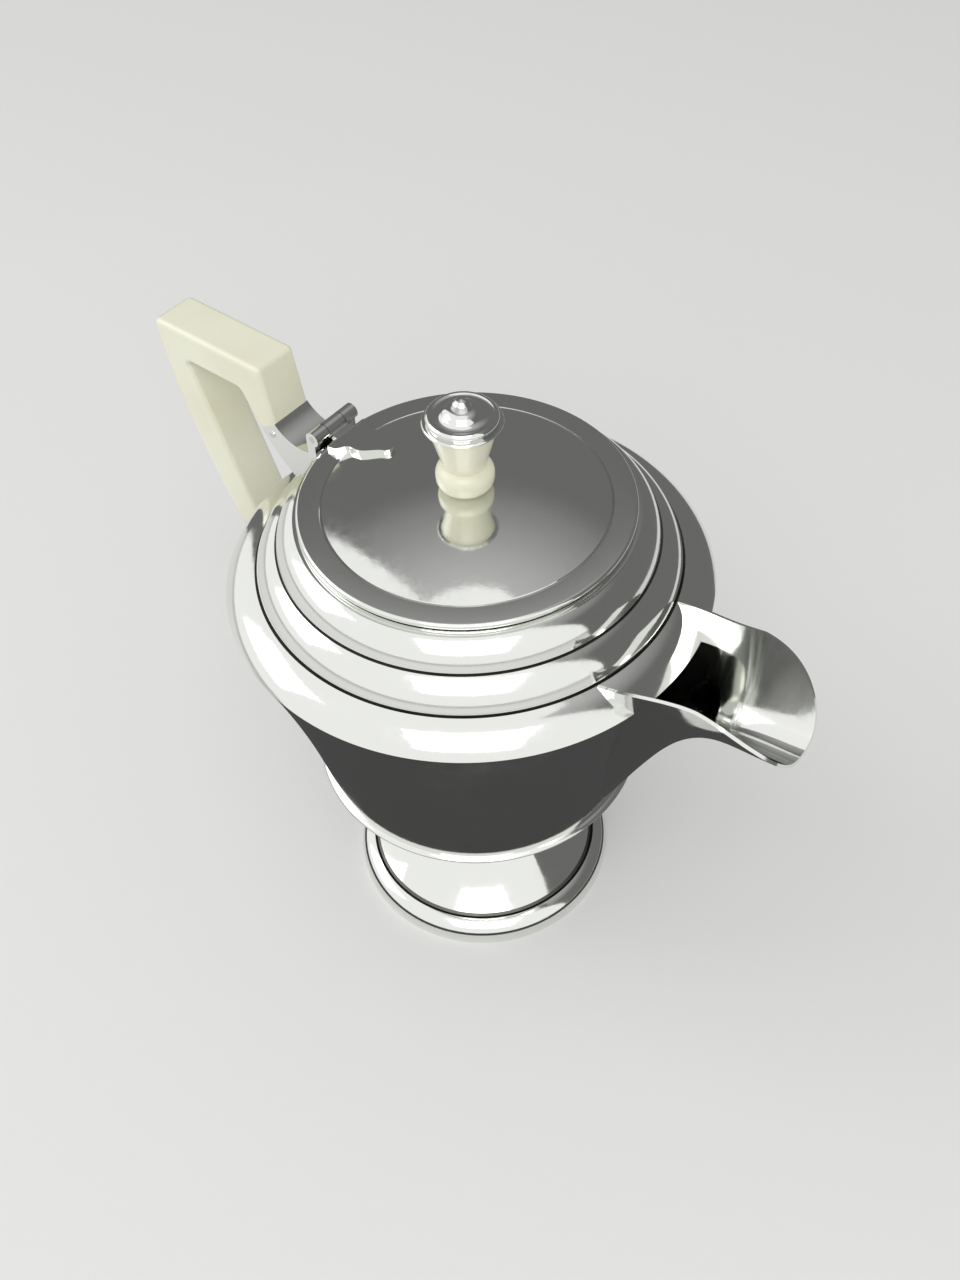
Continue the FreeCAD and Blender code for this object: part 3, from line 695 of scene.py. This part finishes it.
@dataclass
class PotBody(SubAssembly):
    """Bowl, waist wire, wall, shoulder and mouth ring, all sizes in millimetres.

    The pouring slot's ends are given from the shoulder's edge downwards. Radius and height of the waist
    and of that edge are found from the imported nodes.
    """

    sheet: float = SHEET
    groove_width: float = GROOVE_WIDTH
    groove_depth: float = GROOVE_DEPTH
    neck: float = NECK_RADIUS
    bowl_bow: float = 3.0
    wall_bow: float = WALL_BOW
    bead: float = 1.5
    band_bow: float = BAND_BOW
    low_band: Point = LOW_BAND
    middle_band: Point = MIDDLE_BAND
    lining: Point = (0.78, 0.62)
    pour_width: float = 14.0
    pour_bottom: float = 47.0
    pour_top: float = 8.0
    pour_steps: int = 16
    pour_span: Point = (0.5, 1.2)
    waist: Point = field(init=False)
    edge: Point = field(init=False)

    def build(self) -> None:
        """Makes the turned pieces and paints the mouth ring."""
        wall_low, wall_high = extent("body_wall")
        self.waist = (extent("body_bowl")[1].y, wall_low.z)
        self.edge = (wall_high.y, wall_high.z)
        self._bowl()
        self._wall()
        self._bead()
        self._shoulder()
        self.paint(self.silver, "mouth_ring")

    def _bowl(self) -> None:
        """Rounded bottom of the body."""
        radius, high = self.waist
        low = extent("body_bowl")[0].z
        bowl = Profile(0, low).to(self.neck, low).bend(radius, high, -self.bowl_bow)
        bowl.to(radius - self.sheet, high, Face.SECOND)
        bowl.bend(self.neck, low + self.sheet, self.bowl_bow, Face.SECOND)
        bowl.to(0, low + self.sheet, Face.SECOND)
        self.turned("body_bowl", bowl, self.silver, self.inside)

    def _wall(self) -> None:
        """Hollow tapered wall with the pouring slot cut through it."""
        (radius, low), (edge, high) = self.waist, self.edge
        wall = Profile(radius, low).bend(edge, high, self.wall_bow).to(edge - self.sheet, high)
        wall.bend(radius - self.sheet, low, -self.wall_bow, Face.SECOND)
        piece = self.turned("body_wall", wall, self.silver, self.inside)
        trim(piece, self._slot(), Cut.AWAY)

    def _slot(self) -> Thing:
        """Solid of the upright slot with round ends behind the spout.

        Returns:
            The solid.
        """
        edge, high = self.edge
        radius = self.pour_width / 2
        centres = (high - self.pour_bottom + radius, high - self.pour_top - radius)
        outline = []
        for centre, start in zip(centres, (math.pi, 0.0)):
            for number in range(self.pour_steps + 1):
                angle = start + math.pi * number / self.pour_steps
                outline.append((radius * math.cos(angle), centre + radius * math.sin(angle)))
        return prism("slot", [[(edge * share, y, z) for y, z in outline] for share in self.pour_span])

    def _bead(self) -> None:
        """Half-round wire at the waist."""
        radius, height = self.waist
        seat = radius - self.bead
        bead = Profile(seat, height - self.bead).bend(seat, height + self.bead, -2 * self.bead)
        self.turned("waist_ring", bead, self.silver)

    def _shoulder(self) -> None:
        """Three rounded bands with painted shade in the grooves between them."""
        edge = self.edge
        mouth = (extent("mouth_ring")[1].y, extent("shoulder_collar")[1].z)
        corners = [edge]
        for width, rise in (self.low_band, self.middle_band):
            corners.append((corners[-1][0] - width, corners[-1][1] + rise))
        corners.append(mouth)
        half = self.groove_width / 2
        line = Profile(*edge)
        # Stretches with Face.SECOND are the grooves' walls, which take the painted groove shade.
        for start, end in zip(corners, corners[1:]):
            length = math.hypot(end[0] - start[0], end[1] - start[1])
            along = ((end[0] - start[0]) / length, (end[1] - start[1]) / length)
            if start != edge:
                line.to(start[0] + along[0] * half, start[1] + along[1] * half, Face.SECOND)
            short = 0.0 if end == mouth else half
            line.bend(end[0] - along[0] * short, end[1] - along[1] * short, -self.band_bow)
            if end != mouth:
                depth = self.groove_depth
                line.to(end[0] - along[1] * depth, end[1] + along[0] * depth, Face.SECOND)
        thick = self.sheet + self.groove_depth
        line.to(mouth[0] - self.sheet, mouth[1], Face.THIRD)
        for radius, height in corners[2:0:-1]:
            line.to(radius - thick * self.lining[0], height - thick * self.lining[1], Face.THIRD)
        line.to(edge[0] - self.sheet, edge[1], Face.THIRD)
        self.turned("shoulder_collar", line, self.silver, self.groove_shade, self.inside)


@dataclass
class Lid(SubAssembly):
    """Lid cover, bezel and the moving half of the hinge, all sizes in millimetres.

    The leaf's side is given by distances back from its tip and half widths.
    """

    sheet: float = SHEET
    ledge: float = 1.0
    rim_width: float = 2.6
    rim_height: float = 1.9
    rim_steps: int = 12
    step_radius: float = 38.0
    step_width: float = 0.7
    step_depth: float = 0.5
    dome_steps: int = 24
    hole: float = BOLT_HOLE
    leaf_side: tuple[Point, ...] = (
        (26.0, 8.0), (15.8, 8.0), (11.3, 4.6), (8.2, 4.8), (0.9, 1.7), (-0.2, 0.7))
    leaf_steps: int = 16
    leaf_spare: float = 1.0
    leaf_crease: float = 30.0

    def build(self) -> None:
        """Makes the smooth cover and the waved hinge leaf and paints the bezel."""
        self._cover()
        self.paint(self.silver, "lid_bezel")
        self._leaf()

    def _cover(self) -> None:
        """Cover with rounded rim, flat flange, step and low dome."""
        low, high = extent("lid_cover")
        radius = extent("mouth_ring")[1].y - self.ledge
        flange = low.z + self.rim_height
        half = self.rim_height / 2
        cover = Profile(radius - half, low.z)
        for number in range(1, self.rim_steps + 1):
            angle = math.pi * number / self.rim_steps - math.pi / 2
            cover.to(radius - half + half * math.cos(angle), low.z + half + half * math.sin(angle))
        step = self.step_radius
        cover.to(step + self.step_width, flange)
        cover.to(step + self.step_width / 2, flange - self.step_depth)
        dome = self._dome(flange + self.step_depth / 2, high.z)
        for spot in dome:
            cover.to(*spot)
        for at, height in reversed(dome):
            cover.to(at, height - self.sheet, Face.SECOND)
        under = flange - self.sheet
        hollow = radius - self.rim_width
        cover.to(step, under - self.step_depth, Face.SECOND)
        cover.to(step + self.step_width, under, Face.SECOND)
        cover.to(hollow, under, Face.SECOND).to(hollow, low.z, Face.SECOND)
        self.turned("lid_cover", cover, self.silver, self.inside)

    def _dome(self, foot: float, top: float) -> list[Point]:
        """Outside of the dome from the step to the bolt's hole.

        Args:
            foot: Height at the step.
            top: Height of the crown.

        Returns:
            Radius and height of each point.
        """
        rise = top - foot
        sphere = (self.step_radius ** 2 + rise ** 2) / (2 * rise)
        line = []
        for number in range(self.dome_steps + 1):
            radius = self.step_radius + (self.hole - self.step_radius) * number / self.dome_steps
            line.append((radius, top - sphere + math.sqrt(sphere ** 2 - radius ** 2)))
        return line

    def _leaf(self) -> None:
        """Hinge leaf, trimmed to its waved outline."""
        low, high = extent("hinge_leaf")
        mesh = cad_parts["hinge_leaf"].data.copy()
        mesh.materials.clear()
        piece = link_object("hinge_leaf_waved", mesh)
        side = self._wave(high.x)
        outline = side + [(x, -y) for x, y in reversed(side)]
        heights = (low.z - self.leaf_spare, high.z + self.leaf_spare)
        trim(piece, prism("leaf outline", [[(x, y, z) for x, y in outline] for z in heights]), Cut.KEEP)
        smooth(piece.data, self.leaf_crease)
        self.stand_in(piece, "hinge_leaf", self.silver)

    def _wave(self, tip: float) -> list[Point]:
        """Waved side of the leaf seen from above.

        Args:
            tip: Place of the leaf's tip along the pot.

        Returns:
            Points from the hinge to the tip, on the side of +Y.
        """
        side = []
        for (back, width), (end, end_width) in zip(self.leaf_side, self.leaf_side[1:]):
            for step in range(self.leaf_steps):
                share = step / self.leaf_steps
                ease = share * share * (3 - 2 * share)
                x = tip - back - (end - back) * share
                side.append((x, width + (end_width - width) * ease))
        back, width = self.leaf_side[-1]
        side.append((tip - back, width))
        return side


@dataclass
class Finial(SubAssembly):
    """Turned resin stem with its silver cap and bolt, all sizes in millimetres."""

    foot: float = 5.4
    seat: float = 0.1
    belly: float = 7.7
    bead_height: float = 7.4
    bead_bow: float = 0.75
    neck: float = 5.6
    cone: float = 9.1
    bore: float = BOLT_HOLE
    cap: float = 10.4
    brim_height: float = 0.9
    cap_neck: float = 8.9
    disc_bow: float = 0.55
    cap_edge: float = 2.8
    cap_step: float = 8.7
    step_rise: float = 0.6
    boss: float = 5.3
    boss_bow: float = 0.35
    knob: float = 2.7

    def build(self) -> None:
        """Makes stem and cap and paints the fasteners."""
        self._stem()
        self._cap()
        self.paint(self.silver, "finial_bolt", "finial_washer", "finial_nut")

    def _stem(self) -> None:
        """Bead and cone of resin."""
        top = extent("finial_stem")[1].z
        base = extent("lid_cover")[1].z
        stem = Profile(self.bore, base - self.seat).to(self.foot, base - self.seat)
        stem.bend(self.belly, base + self.bead_height / 2, -self.bead_bow)
        stem.bend(self.neck, base + self.bead_height, -self.bead_bow)
        stem.to(self.cone, top).to(self.bore, top)
        self.turned("finial_stem", stem, self.finishes.ivory(IVORY), slot=Slot.IVORY)

    def _cap(self) -> None:
        """Silver disc on a thin brim, with a boss under the bolt's head."""
        low, high = extent("finial_cap")
        brim = low.z + self.brim_height
        edge = low.z + self.cap_edge
        turn = self.cap - self.brim_height / 3
        disc = Profile(self.bore, low.z).to(self.cone, low.z)
        disc.to(turn, low.z).bend(turn, brim, turn - self.cap).to(self.cap_neck, brim)
        disc.bend(self.cap_step, edge, -self.disc_bow).to(self.cap_step - self.step_rise, edge)
        disc.to(self.cap_step - 2 * self.step_rise, edge - self.step_rise / 2)
        disc.bend(self.boss, edge + self.step_rise / 2, self.step_rise / 3)
        disc.bend(self.knob, high.z, -self.boss_bow).to(self.bore, high.z)
        self.turned("finial_cap", disc, self.silver)


@dataclass
class Spout(SubAssembly):
    """Open beak of thin sheet that follows a keel, all sizes in millimetres.

    The keel's points are distances from the axis and heights from the shoulder's edge. The waist is
    the share of its width that the beak loses halfway. The last seven fields are found by build.
    """

    sheet: float = 0.9
    sink: float = 0.3
    half_width: float = 18.5
    narrowing: float = 1.6
    waist: float = 0.075
    waist_end: float = 0.85
    nose_power: float = 3.2
    crest_rise: float = 14.4
    crest_reach: float = 85.0
    crest_turn: float = 0.25
    root_inset: float = 1.4
    keel: tuple[Point, ...] = (
        (46.7, -72.2), (62.5, -36.3), (84.6, -8.6), (103.9, -4.0), (109.74, -2.61))
    keel_samples: int = 400
    search_from: float = 0.7
    halvings: int = 40
    nudge: float = 0.05
    nudge_across: float = 0.005
    rows: int = 72
    columns: int = 96
    crease: float = 40.0
    edge_z: float = field(init=False)
    groove: float = field(init=False)
    groove_z: float = field(init=False)
    reach: float = field(init=False)
    start: float = field(init=False)
    pot_line: np.ndarray = field(init=False)
    keel_line: np.ndarray = field(init=False)

    def build(self) -> None:
        """Makes the smooth beak."""
        wall_low, wall_high = extent("body_wall")
        edge, self.edge_z = wall_high.y, wall_high.z
        self.groove, self.groove_z = edge - LOW_BAND[0], self.edge_z + LOW_BAND[1]
        self.reach = extent("spout")[1].x
        self.start = self.groove - self.root_inset
        outside = Profile(extent("body_bowl")[1].y, wall_low.z).bend(edge, self.edge_z, WALL_BOW)
        outside.bend(self.groove, self.groove_z, -BAND_BOW)
        width, rise = MIDDLE_BAND
        outside.bend(self.groove - width, self.groove_z + rise, -BAND_BOW)
        self.pot_line = np.array(outside.points).T[::-1]
        self.keel_line = self._keel()
        self.stand_in(self._mesh(*self._sheets()), "spout", self.silver)

    def _keel(self) -> np.ndarray:
        """Smooth line through the keel's points, as a natural cubic spline.

        Returns:
            A row of distances from the axis and a row of heights, close together.
        """
        points = np.array(self.keel) + (0.0, self.edge_z)
        steps = np.diff(points, axis=0)
        gaps = np.linalg.norm(steps, axis=1)
        slopes = steps / gaps[:, None]
        places = np.concatenate(([0.0], np.cumsum(gaps)))
        count = len(points)
        matrix = np.eye(count)
        target = np.zeros((count, 2))
        for i in range(1, count - 1):
            matrix[i, i - 1:i + 2] = gaps[i - 1], 2 * (gaps[i - 1] + gaps[i]), gaps[i]
            target[i] = 6 * (slopes[i] - slopes[i - 1])
        bend = np.linalg.solve(matrix, target)
        line = []
        for place in np.linspace(0.0, places[-1], self.keel_samples):
            i = min(int(np.searchsorted(places, place, "right")) - 1, count - 2)
            after, before = places[i + 1] - place, place - places[i]
            curve = (bend[i] * after ** 3 + bend[i + 1] * before ** 3) / (6 * gaps[i])
            curve += (points[i] / gaps[i] - bend[i] * gaps[i] / 6) * after
            curve += (points[i + 1] / gaps[i] - bend[i + 1] * gaps[i] / 6) * before
            line.append(curve)
        return np.array(line).T

    def _half(self, x: float) -> float:
        """Half width of the beak at a distance from the axis."""
        return self.half_width - self.narrowing * (x - self.groove) / (self.reach - self.groove)

    def _pinch(self, x: float) -> float:
        """Share of the width that the beak keeps at a distance from the axis."""
        share = min(1.0, max(0.0, (x - self.groove) / (self.reach - self.groove) / self.waist_end))
        return 1 - self.waist * math.sin(math.pi * share) ** 2

    def _plan(self, x: float) -> float:
        """Half width of the lip's outline seen from above."""
        share = min(1.0, max(0.0, (x - self.start) / (self.reach - self.start)))
        return self.half_width * (1 - share ** self.nose_power) ** (1 / self.nose_power)

    def _crest(self, x: float) -> float:
        """Height of the lip, which rises and then turns level.

        Args:
            x: Distance from the axis.

        Returns:
            The height.
        """
        share = (x - self.start) / (self.crest_reach - self.start)
        if share > 1 - self.crest_turn:
            spare = max(0.0, 1 + self.crest_turn - share)
            share = 1 - spare ** 2 / (4 * self.crest_turn)
        return self.groove_z + (self.edge_z + self.crest_rise - self.groove_z) * share

    def _place(self, x: float, across: float) -> Vector:
        """Point of the outside.

        Args:
            x: Distance from the axis, towards the lip.
            across: Share of the half width, from -1 to 1.

        Returns:
            The point.
        """
        low = float(np.interp(x, *self.keel_line))
        height = low + (self._crest(x) - low) * across ** 2
        return Vector((x, across * self._half(x) * self._pinch(x), height))

    def _solve(self, inside: Callable[[float], bool], low: float, high: float) -> float:
        """Finds where a test turns false.

        Args:
            inside: Test that is true at the low end.
            low: Low end.
            high: High end.

        Returns:
            The place of the change.
        """
        for _ in range(self.halvings):
            middle = (low + high) / 2
            if inside(middle):
                low = middle
            else:
                high = middle
        return low

    def _in_pot(self, x: float, across: float) -> bool:
        """Whether a point of the outside lies inside the pot's own outside."""
        spot = self._place(x, across)
        return math.hypot(spot.x, spot.y) < np.interp(spot.z, *self.pot_line) - self.sink

    def _sheets(self) -> tuple[Rows, Rows]:
        """Rows of points on both sides of the sheet.

        Returns:
            The outer and the inner rows, each from the pot to the lip.
        """
        outer, inner = [], []
        step, aside = self.nudge, self.nudge_across
        for number in range(self.columns + 1):
            across = math.sin(math.pi * (number / self.columns - 0.5))
            wide = abs(across)
            end = self._solve(lambda x: self._plan(x) > wide * self._half(x), self.start, self.reach)
            root = self._solve(lambda x: self._in_pot(x, across), self.start * self.search_from, end)
            line, under = [], []
            for row in range(self.rows + 1):
                x = root + (end - root) * row / self.rows
                spot = self._place(x, across)
                along = self._place(x + step, across) - self._place(x - step, across)
                sideways = self._place(x, across + aside) - self._place(x, across - aside)
                line.append(spot)
                under.append(spot + along.cross(sideways).normalized() * self.sheet)
            outer.append(line)
            inner.append(under)
        return outer, inner

    def _mesh(self, outer: Rows, inner: Rows) -> Thing:
        """Closed sheet between the two sides.

        Args:
            outer: Rows of the outside.
            inner: Rows of the inside.

        Returns:
            The object, linked to the scene.
        """
        shape = bmesh.new()
        sides = []
        for rows in (outer, inner):
            sides.append([[shape.verts.new(spot * MM) for spot in row] for row in rows])
        for side in sides:
            for first, second in zip(side, side[1:]):
                for n in range(self.rows):
                    shape.faces.new((first[n], first[n + 1], second[n + 1], second[n]))
        low, high = sides
        for n in (0, self.columns):
            for row in range(self.rows):
                shape.faces.new((low[n][row], low[n][row + 1], high[n][row + 1], high[n][row]))
        for row in (0, self.rows):
            for n in range(self.columns):
                shape.faces.new((low[n][row], low[n + 1][row], high[n + 1][row], high[n][row]))
        return shape_object(shape, "spout_beak", self.crease)


@dataclass
class Fittings(SubAssembly):
    """Handle, sockets and the fixed half of the hinge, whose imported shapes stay."""

    def build(self) -> None:
        """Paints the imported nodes."""
        self.paint(self.silver, "handle_upper_socket", "handle_lower_socket", "hinge_lug")
        pin_steel = self.finishes.metal(PIN_STEEL)
        self.paint(pin_steel, "handle_upper_pin", "handle_lower_pin", "hinge_pin")
        self.paint(self.finishes.ivory(IVORY), "handle_grip")


@dataclass(frozen=True)
class PhotoCamera:
    """Camera of the photograph, worked out from the circles of the lid, shoulder and foot.

    Attributes:
        place_mm: Position in millimetres.
        heading: Compass angle of the view, in degrees from +Y towards +X.
        pitch: Angle below the horizon, in degrees.
        roll: Tilt of the picture, in degrees.
        focal_px: Focal length in pixels of the picture.
        long_side_px: Pixels on the picture's long side.
        sensor_mm: Width of the sensor in millimetres.
        near: Nearest distance that is drawn, in metres.
    """

    place_mm: Spot = (178.0, -204.8, 406.1)
    heading: float = -40.63
    pitch: float = 48.32
    roll: float = -2.78
    focal_px: float = 1400.0
    long_side_px: float = 1280.0
    sensor_mm: float = 36.0
    near: float = 0.01

    def build(self) -> None:
        """Makes the camera and hands it to the scene."""
        data = bpy.data.cameras.new("photo camera")
        data.sensor_width = self.sensor_mm
        data.lens = self.sensor_mm * self.focal_px / self.long_side_px
        data.clip_start = self.near
        camera = link_object("photo camera", data)
        heading, pitch, roll = map(math.radians, (self.heading, self.pitch, self.roll))
        level = Vector((math.sin(heading), math.cos(heading), 0.0))
        forward = level * math.cos(pitch) - Vector((0.0, 0.0, math.sin(pitch)))
        right = Vector((math.cos(heading), -math.sin(heading), 0.0))
        up = right.cross(forward)
        across = right * math.cos(roll) + up * math.sin(roll)
        above = up * math.cos(roll) - right * math.sin(roll)
        turn = Matrix((across, above, -forward)).transposed().to_4x4()
        camera.matrix_world = Matrix.Translation(Vector(self.place_mm) * MM) @ turn
        bpy.context.scene.camera = camera


@dataclass(frozen=True)
class Lamp:
    """Soft square light aimed at the pot.

    Attributes:
        name: Object name.
        place: Position in metres.
        size: Side in metres.
        energy: Power in watts.
        aim: Point that it faces, in metres.
    """

    name: str
    place: Spot
    size: float
    energy: float
    aim: Spot = (0.0, 0.0, 0.1)

    def build(self) -> None:
        """Makes the light."""
        data = bpy.data.lights.new(self.name, "AREA")
        data.size = self.size
        data.energy = self.energy
        light = link_object(self.name, data)
        light.location = self.place
        way = Vector(self.aim) - Vector(self.place)
        light.rotation_mode = "QUATERNION"
        light.rotation_quaternion = way.to_track_quat("-Z", "Y")


@dataclass(frozen=True)
class Flag:
    """Grey cloth in an arc about the pot's axis that shows in reflections only.

    Attributes:
        name: First word of the names of its object and material.
        tone: Linear grey of the cloth.
        rows: Radius and height of its rows, in metres.
        span: Angles at which it starts and ends, in degrees from the spout.
        fade: Where it thins out.
        reach: Shares of its size at which the thinning starts and ends.
        count: Facets along the arc.
    """

    name: str
    tone: float
    rows: tuple[Point, ...]
    span: Point
    fade: Fade
    reach: Point
    count: int = 64

    def build(self) -> None:
        """Makes the flag and hides it from everything but reflections."""
        arc = self._arc()
        arc.visible_camera = False
        arc.visible_shadow = False
        arc.visible_diffuse = False
        arc.data.materials.append(self._cloth())

    def _arc(self) -> Thing:
        """Bare arc.

        Returns:
            The object, linked to the scene.
        """
        start, end = map(math.radians, self.span)
        angles = [start + (end - start) * number / self.count for number in range(self.count + 1)]
        spots = [(r * math.cos(a), r * math.sin(a), height) for r, height in self.rows for a in angles]
        faces = []
        for row in range(len(self.rows) - 1):
            for number in range(self.count):
                low = row * (self.count + 1) + number
                high = low + self.count + 1
                faces.append((low, low + 1, high + 1, high))
        return stage_piece(self.name + " flag", spots, faces)

    def _cloth(self) -> Material:
        """Cloth that thins out softly.

        Returns:
            The material.
        """
        material = new_material(self.name + " cloth")
        tree = material.node_tree
        tree.nodes.clear()
        place = add_node(tree, "TexCoord").outputs["Generated"]
        if self.fade is Fade.TOP:
            share = add_node(tree, "SeparateXYZ", {"Vector": place}).outputs["Z"]
        else:
            middle = {"Vector": place, "Location": (-1.0, -1.0, 0.0), "Scale": (2.0, 2.0, 0.0)}
            away = add_node(tree, "Mapping", middle).outputs["Vector"]
            share = add_node(tree, "VectorMath", {0: away}, operation="LENGTH").outputs["Value"]
        limits = {"Value": share, "From Min": self.reach[0], "From Max": self.reach[1]}
        thin = add_node(tree, "MapRange", limits, interpolation_type="SMOOTHSTEP").outputs["Result"]
        grey = {"Color": (self.tone, self.tone, self.tone, 1.0)}
        cloth = add_node(tree, "Emission", grey).outputs["Emission"]
        clear = add_node(tree, "BsdfTransparent").outputs["BSDF"]
        mix = add_node(tree, "MixShader", {"Fac": thin, 1: cloth, 2: clear}).outputs["Shader"]
        add_node(tree, "OutputMaterial", {"Surface": mix})
        return material


KEY_LAMP = Lamp("key", (0.5, -0.7, 1.1), 0.9, 5.0)
SIDE_LAMP = Lamp("side", (-0.95, -0.55, 0.8), 0.7, 2.5)
BACK_FLAG = Flag(
    "back", 0.16, ((0.45, 0.001), (1.6, 0.001), (1.6, 1.0), (1.3, 1.6), (0.8, 1.9), (0.55, 2.0)),
    (10.0, 168.0), Fade.TOP, (0.66, 1.40))
GROUND_FLAG = Flag(
    "ground", 0.065, ((0.050, 0.0006), (0.24, 0.0006)), (0.0, 360.0), Fade.ROUND, (0.40, 1.0))


@dataclass(frozen=True)
class Studio:
    """Pale floor, soft light and grey flags that give the silver something to mirror.

    Attributes:
        floor_size: Side of the floor in metres.
        floor_colour: Its linear colour.
        floor_roughness: Its roughness.
        floor_gloss: Its specular level.
        fill: Strength of the sky as a light.
        lamps: The lights.
        flags: The flags.
    """

    floor_size: float = 30.0
    floor_colour: Spot = (0.80, 0.80, 0.79)
    floor_roughness: float = 0.85
    floor_gloss: float = 0.1
    fill: float = 0.70
    lamps: tuple[Lamp, ...] = (KEY_LAMP, SIDE_LAMP)
    flags: tuple[Flag, ...] = (BACK_FLAG, GROUND_FLAG)

    def build(self) -> None:
        """Makes sky, floor, lights and flags."""
        bpy.context.scene.view_settings.view_transform = "Standard"
        self._sky()
        self._floor()
        for maker in self.lamps + self.flags:
            maker.build()

    def _sky(self) -> None:
        """White to look at and in reflections, softer as a light."""
        world = bpy.data.worlds.new("studio")
        world.use_nodes = True
        bpy.context.scene.world = world
        tree = world.node_tree
        tree.nodes.clear()
        path = add_node(tree, "LightPath").outputs
        rays = {0: path["Is Camera Ray"], 1: path["Is Glossy Ray"]}
        seen = add_node(tree, "Math", rays, operation="ADD").outputs["Value"]
        rays = {0: seen, 1: path["Is Transmission Ray"]}
        either = add_node(tree, "Math", rays, operation="ADD", use_clamp=True).outputs["Value"]
        white = (1.0, 1.0, 1.0, 1.0)
        fill, shown = (
            add_node(tree, "Background", {"Color": white, "Strength": strength}).outputs["Background"]
            for strength in (self.fill, 1.0))
        mix = add_node(tree, "MixShader", {"Fac": either, 1: fill, 2: shown}).outputs["Shader"]
        add_node(tree, "OutputWorld", {"Surface": mix})

    def _floor(self) -> None:
        """Matt pale floor under the foot."""
        half = self.floor_size / 2
        corners = [(-half, -half, 0.0), (half, -half, 0.0), (half, half, 0.0), (-half, half, 0.0)]
        floor = stage_piece("floor", corners, [(0, 1, 2, 3)])
        material = new_material("pale floor")
        feed(material.node_tree.nodes["Principled BSDF"], {
            "Base Color": (*self.floor_colour, 1.0),
            "Roughness": self.floor_roughness,
            "Specular IOR Level": self.floor_gloss,
        })
        floor.data.materials.append(material)


def main() -> None:
    """Builds every sub-assembly, the camera and the studio, and reports each piece."""
    logging.basicConfig(level=logging.INFO)
    finishes = Finishes()
    pot = [kind(finishes) for kind in (Foot, PotBody, Spout, Fittings)]
    lid = [kind(finishes, Body.LID) for kind in (Lid, Finial)]
    for group in pot + lid:
        group.build()
        for name in group.made:
            LOG.info("%s: %s", type(group).__name__, name)
    for setting in (PhotoCamera(), Studio()):
        setting.build()
        LOG.info("%s done", type(setting).__name__)


if __name__ == "__main__":
    main()
